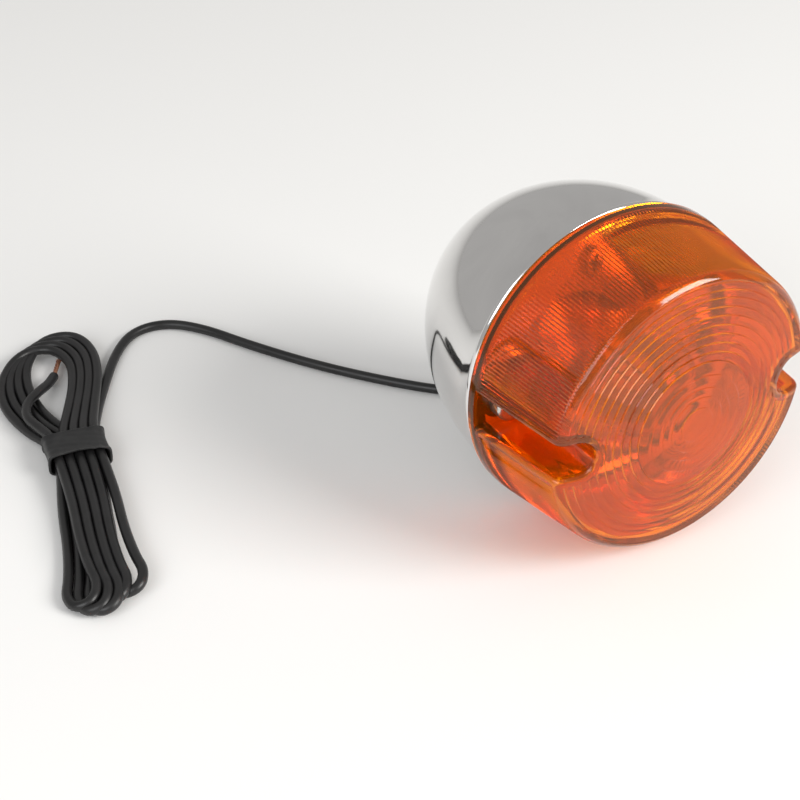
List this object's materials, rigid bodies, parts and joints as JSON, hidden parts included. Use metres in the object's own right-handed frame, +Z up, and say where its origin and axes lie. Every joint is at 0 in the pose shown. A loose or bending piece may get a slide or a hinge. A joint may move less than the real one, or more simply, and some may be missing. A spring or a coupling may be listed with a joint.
{
  "type": "turn signal lamp",
  "caption": "Round bullet-shaped motorcycle turn signal with a domed ribbed amber lens, a bayonet bulb, a threaded mounting foot and a tied-up lead.",
  "frame": {"origin": "on the surface the lamp stands on, under the middle of the lamp (housing and lens, without its lead)", "axes": "+Z up, the lens faces -Y with its axis horizontal, +X towards the right-hand screw seen from behind the lens"},
  "size_m": [0.1575, 0.1513, 0.074],
  "materials": {
    "amber_plastic": "transparent amber, ribbed",
    "chrome": "mirror chrome",
    "reflector_metal": "bright spun aluminium",
    "plated_steel": "zinc plated",
    "brass": "drawn brass",
    "solder": "dull solder",
    "spring_steel": "spring wire",
    "phenolic": "brown phenolic",
    "black_glass": "black glass",
    "clear_glass": "clear glass",
    "tungsten": "grey tungsten",
    "rubber_black": "matt black rubber",
    "wire_black": "satin black insulation",
    "tape_black": "black tape",
    "copper": "tinned copper strands"
  },
  "bodies": {
    "housing": {"housing": "chrome", "lens_gasket": "rubber_black", "reflector": "reflector_metal", "reflector_screws": "plated_steel", "socket_shell": "brass", "socket_end_disc": "phenolic", "contact_spring": "spring_steel", "wire_grommet": "rubber_black", "inner_lead": "wire_black", "lead_wire": "wire_black", "wire_hank": "wire_black", "tie_band": "tape_black", "bare_conductor": "copper"},
    "lens": {"lens": "amber_plastic"},
    "left_washer": {"left_washer": "spring_steel"},
    "right_washer": {"right_washer": "spring_steel"},
    "left_screw": {"left_screw": "plated_steel"},
    "right_screw": {"right_screw": "plated_steel"},
    "contact": {"contact_disc": "phenolic", "contact_button": "brass", "contact_terminal": "brass"},
    "bulb": {"bulb_base": "brass", "bulb_pins": "brass", "base_insulator": "black_glass", "solder_contact": "solder", "bulb_glass": "clear_glass", "glass_stem": "clear_glass", "filament_supports": "tungsten", "filament": "tungsten"}
  },
  "joints": [
    {"name": "lens_lift", "type": "slide", "parent": "housing", "child": "lens", "axis": [0, -1, 0], "range_m": [0, 0.05]},
    {"name": "left_screw_back_out", "type": "slide", "parent": "lens", "child": "left_washer", "axis": [0, -1, 0], "range_m": [0, 0.0119]},
    {"name": "left_screw_turn", "type": "hinge", "parent": "left_washer", "child": "left_screw", "pos_m": [-0.029, -0.00955, 0.037], "axis": [0, -1, 0], "range_deg": [0, 6121]},
    {"name": "right_screw_back_out", "type": "slide", "parent": "lens", "child": "right_washer", "axis": [0, -1, 0], "range_m": [0, 0.0119]},
    {"name": "right_screw_turn", "type": "hinge", "parent": "right_washer", "child": "right_screw", "pos_m": [0.029, -0.00955, 0.037], "axis": [0, -1, 0], "range_deg": [0, 6121]},
    {"name": "bulb_push", "type": "slide", "parent": "housing", "child": "bulb", "axis": [0, 1, 0], "range_m": [0, 0.002], "stiffness_N_per_m": 1500},
    {"name": "contact_push", "type": "slide", "parent": "housing", "child": "contact", "axis": [0, 1, 0], "range_m": [0, 0.002], "deforming": ["contact_spring"]}
  ],
  "couplings": [
    {"joint": "contact_push", "follows": "bulb_push", "ratio": 1},
    {"joint": "left_screw_turn", "follows": "left_screw_back_out", "rad_per_m": 8976},
    {"joint": "right_screw_turn", "follows": "right_screw_back_out", "rad_per_m": 8976}
  ]
}
